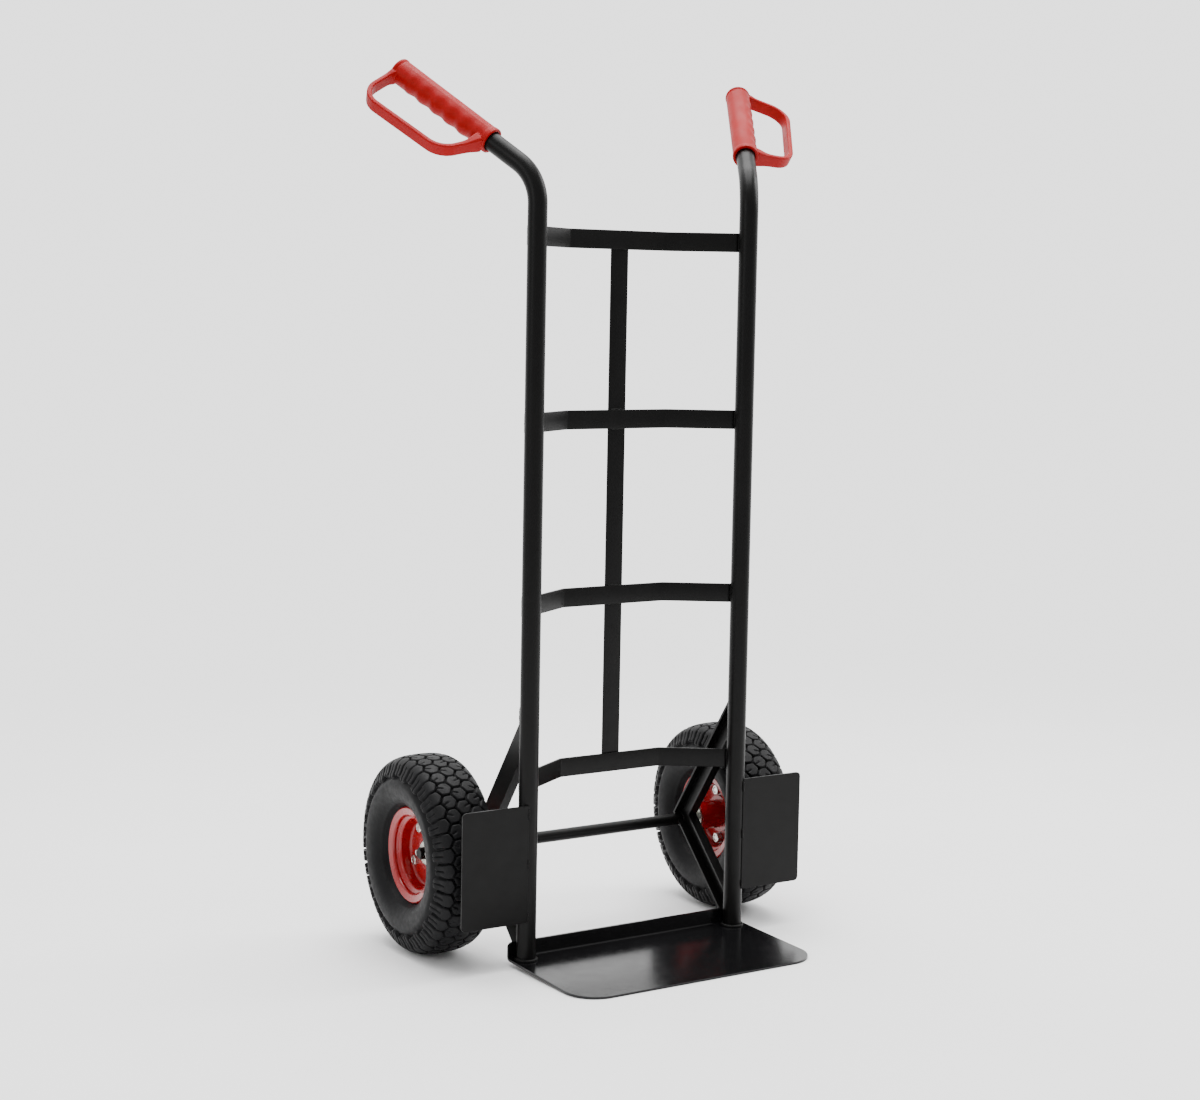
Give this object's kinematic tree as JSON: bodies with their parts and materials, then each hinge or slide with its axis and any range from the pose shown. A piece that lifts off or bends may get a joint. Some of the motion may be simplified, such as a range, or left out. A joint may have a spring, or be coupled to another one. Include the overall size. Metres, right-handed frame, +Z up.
{
  "type": "hand truck",
  "caption": "Upright two-wheeled hand truck: tube frame with set-back crossbars, folded toe plate, wheel guards, pneumatic wheels on a fixed axle and guarded hand grips.",
  "frame": {"origin": "on the floor, at the centre of the bounding box's base, truck standing on both tyres and the toe plate's front edge", "axes": "+Z up; -Y towards the load (toe plate side) and +Y towards the user; X along the axle, with the left wheel at -X as seen from the load side"},
  "size_m": [0.6474, 0.4356, 1.1627],
  "materials": {
    "frame_paint": "satin black powder coat",
    "toe_plate_paint": "smoother, glossier black powder coat",
    "grip_plastic": "moulded red plastic, semi-gloss",
    "rim_paint": "glossy red powder coat",
    "tyre_rubber": "black rubber with block tread",
    "tube_rubber": "matt butyl",
    "valve_rubber": "matt",
    "valve_cap_plastic": "matt",
    "zinc": "bright zinc plate",
    "bearing_steel": "ground steel"
  },
  "bodies": {
    "frame": {"left_upright": "frame_paint", "right_upright": "frame_paint", "left_grip": "grip_plastic", "right_grip": "grip_plastic", "top_crossbar": "frame_paint", "upper_crossbar": "frame_paint", "lower_crossbar": "frame_paint", "bottom_crossbar": "frame_paint", "centre_strip": "frame_paint", "left_wheel_guard": "frame_paint", "right_wheel_guard": "frame_paint", "toe_plate": "toe_plate_paint", "left_axle_bracket": "frame_paint", "right_axle_bracket": "frame_paint", "axle": "frame_paint", "axle_spacers": "zinc", "axle_washers": "zinc", "thrust_washers": "zinc", "split_pins": "zinc", "bearing_inner_rings": "bearing_steel"},
    "left_wheel": {"left_tyre": "tyre_rubber", "left_inner_tube": "tube_rubber", "left_rim_outer": "rim_paint", "left_rim_inner": "rim_paint", "left_hub": "rim_paint", "left_bearing_outer_rings": "bearing_steel", "left_bearing_balls": "bearing_steel", "left_rim_bolts": "zinc", "left_rim_nuts": "zinc", "left_spring_washers": "zinc", "left_valve_stem": "valve_rubber", "left_valve_cap": "valve_cap_plastic"},
    "right_wheel": {"right_tyre": "tyre_rubber", "right_inner_tube": "tube_rubber", "right_rim_outer": "rim_paint", "right_rim_inner": "rim_paint", "right_hub": "rim_paint", "right_bearing_outer_rings": "bearing_steel", "right_bearing_balls": "bearing_steel", "right_rim_bolts": "zinc", "right_rim_nuts": "zinc", "right_spring_washers": "zinc", "right_valve_stem": "valve_rubber", "right_valve_cap": "valve_cap_plastic"}
  },
  "joints": [
    {"name": "left_wheel_spin", "type": "hinge", "parent": "frame", "child": "left_wheel", "pos_m": [-0.234, 0.08784, 0.13], "axis": [1, 0, 0], "continuous": true},
    {"name": "right_wheel_spin", "type": "hinge", "parent": "frame", "child": "right_wheel", "pos_m": [0.234, 0.08784, 0.13], "axis": [1, 0, 0], "continuous": true}
  ]
}
